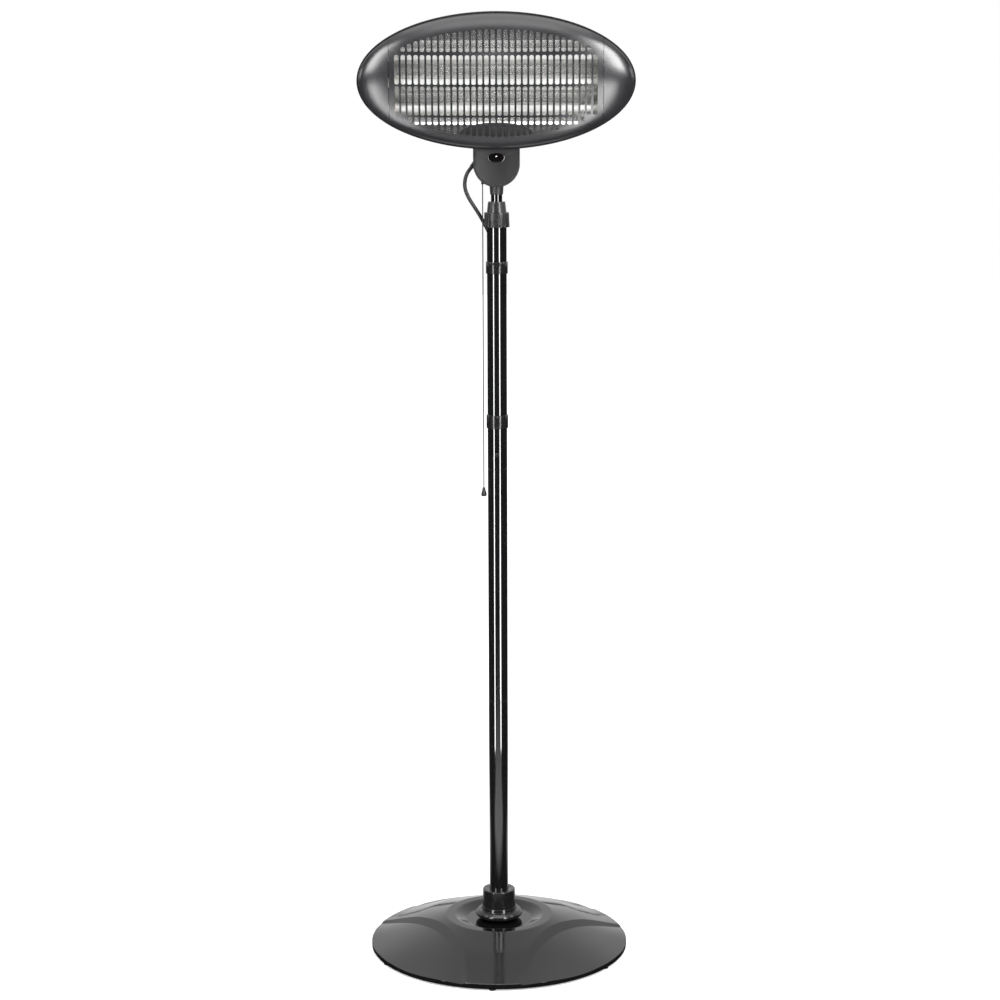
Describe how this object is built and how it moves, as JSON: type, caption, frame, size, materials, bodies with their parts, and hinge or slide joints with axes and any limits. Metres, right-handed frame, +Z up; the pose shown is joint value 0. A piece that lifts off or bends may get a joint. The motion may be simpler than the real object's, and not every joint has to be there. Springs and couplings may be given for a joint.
{
  "type": "infrared patio heater tower",
  "caption": "Free-standing infrared patio heater: weighted round base, telescopic pole, pull-cord switch box and a tilting oval head with quartz tubes behind a slotted grille.",
  "frame": {"origin": "on the floor, at the centre of the round base and on the pole's axis", "axes": "+Z up along the pole, -Y towards the front, where the head faces, +X to the right seen from the front"},
  "size_m": [0.508, 0.6766, 1.8046],
  "materials": {
    "gunmetal": "satin anthracite powder coat",
    "black_enamel": "gloss black enamel",
    "black_plastic": "fine moulded texture",
    "gloss_black_plastic": "gloss",
    "dark_lens": "polished smoked lens",
    "cast_iron": "as cast, primed",
    "black_rubber": "matte",
    "zinc_steel": "zinc plated",
    "black_steel": "black oxide",
    "aluminised_steel": "mill finish",
    "polished_aluminium": "polished",
    "quartz": "ground quartz",
    "resistance_wire": "oxidised",
    "ceramic": "unglazed",
    "white_plastic": "moulded",
    "cord_sheath": "smooth",
    "pull_cord_braid": "braided",
    "nickel_brass": "nickel plated"
  },
  "bodies": {
    "stand": {"base_cover": "black_enamel", "base_weight": "cast_iron", "base_feet": "black_rubber", "base_washer": "zinc_steel", "centre_bolt": "zinc_steel", "base_flange": "gloss_black_plastic", "pole_collar": "gloss_black_plastic", "pole_plug": "black_plastic", "lower_pole": "black_enamel", "middle_pole": "black_enamel", "upper_pole": "black_enamel", "pole_screws": "black_steel", "clamp_collet": "black_plastic", "cable_clip_upper": "black_plastic", "cable_clip_lower": "black_plastic", "power_cord_drop": "cord_sheath", "plug_relief": "cord_sheath", "plug_body": "cord_sheath", "plug_pins": "nickel_brass"},
    "clamp_nut": {"clamp_nut": "black_plastic"},
    "tube_bush": {"tube_bush": "black_plastic"},
    "switch_box": {"telescopic_tube": "black_enamel", "neck_socket": "black_plastic", "box_front_cover": "black_plastic", "box_rear_housing": "black_plastic", "indicator_lens": "dark_lens", "pull_switch": "white_plastic", "terminal_block": "white_plastic", "cord_gland": "black_rubber", "pull_cord_eyelet": "gloss_black_plastic", "box_screws": "black_steel", "tilt_bolt": "black_steel", "power_cord_loop": "cord_sheath"},
    "head": {"front_bezel": "gunmetal", "end_cap_left": "gunmetal", "end_cap_right": "gunmetal", "rim_seal": "black_rubber", "rear_shell": "gunmetal", "reflector": "polished_aluminium", "quartz_tube_top": "quartz", "quartz_tube_middle": "quartz", "quartz_tube_bottom": "quartz", "heating_coil_top": "resistance_wire", "heating_coil_middle": "resistance_wire", "heating_coil_bottom": "resistance_wire", "ceramic_ends": "ceramic", "tube_bracket_left": "aluminised_steel", "tube_bracket_right": "aluminised_steel", "wiring_cover": "black_steel", "tilt_bracket": "black_steel", "bracket_screws": "black_steel", "reflector_studs": "zinc_steel", "shell_screws": "black_steel"},
    "tilt_knob": {"tilt_knob": "black_plastic"},
    "pull_cord": {"pull_cord": "pull_cord_braid", "cord_bell": "gloss_black_plastic"},
    "switch_lever": {"switch_lever": "white_plastic"}
  },
  "joints": [
    {"name": "telescope_slide", "type": "slide", "parent": "stand", "child": "tube_bush", "axis": [0, 0, 1], "range_m": [0, 0.29]},
    {"name": "head_swivel", "type": "hinge", "parent": "tube_bush", "child": "switch_box", "pos_m": [0, 0, 1.2], "axis": [0, 0, 1], "range_deg": [-45, 45]},
    {"name": "clamp_nut_turn", "type": "hinge", "parent": "stand", "child": "clamp_nut", "pos_m": [0, 0, 1.42], "axis": [0, 0, 1], "range_deg": [0, 120]},
    {"name": "head_tilt", "type": "hinge", "parent": "switch_box", "child": "head", "pos_m": [0, 0.024, 1.58], "axis": [1, 0, 0], "range_deg": [-6, 30]},
    {"name": "tilt_knob_turn", "type": "hinge", "parent": "switch_box", "child": "tilt_knob", "pos_m": [0.038, 0.024, 1.58], "axis": [1, 0, 0], "range_deg": [0, 180]},
    {"name": "pull_cord_pull", "type": "slide", "parent": "switch_box", "child": "pull_cord", "axis": [0, 0, -1], "range_m": [0, 0.008], "stiffness_N_per_m": 500},
    {"name": "switch_lever_turn", "type": "hinge", "parent": "switch_box", "child": "switch_lever", "pos_m": [-0.012, -0.005, 1.508], "axis": [0, -1, 0], "range_deg": [0, 40]}
  ],
  "couplings": [
    {"joint": "switch_lever_turn", "follows": "pull_cord_pull", "rad_per_m": 75.9}
  ]
}
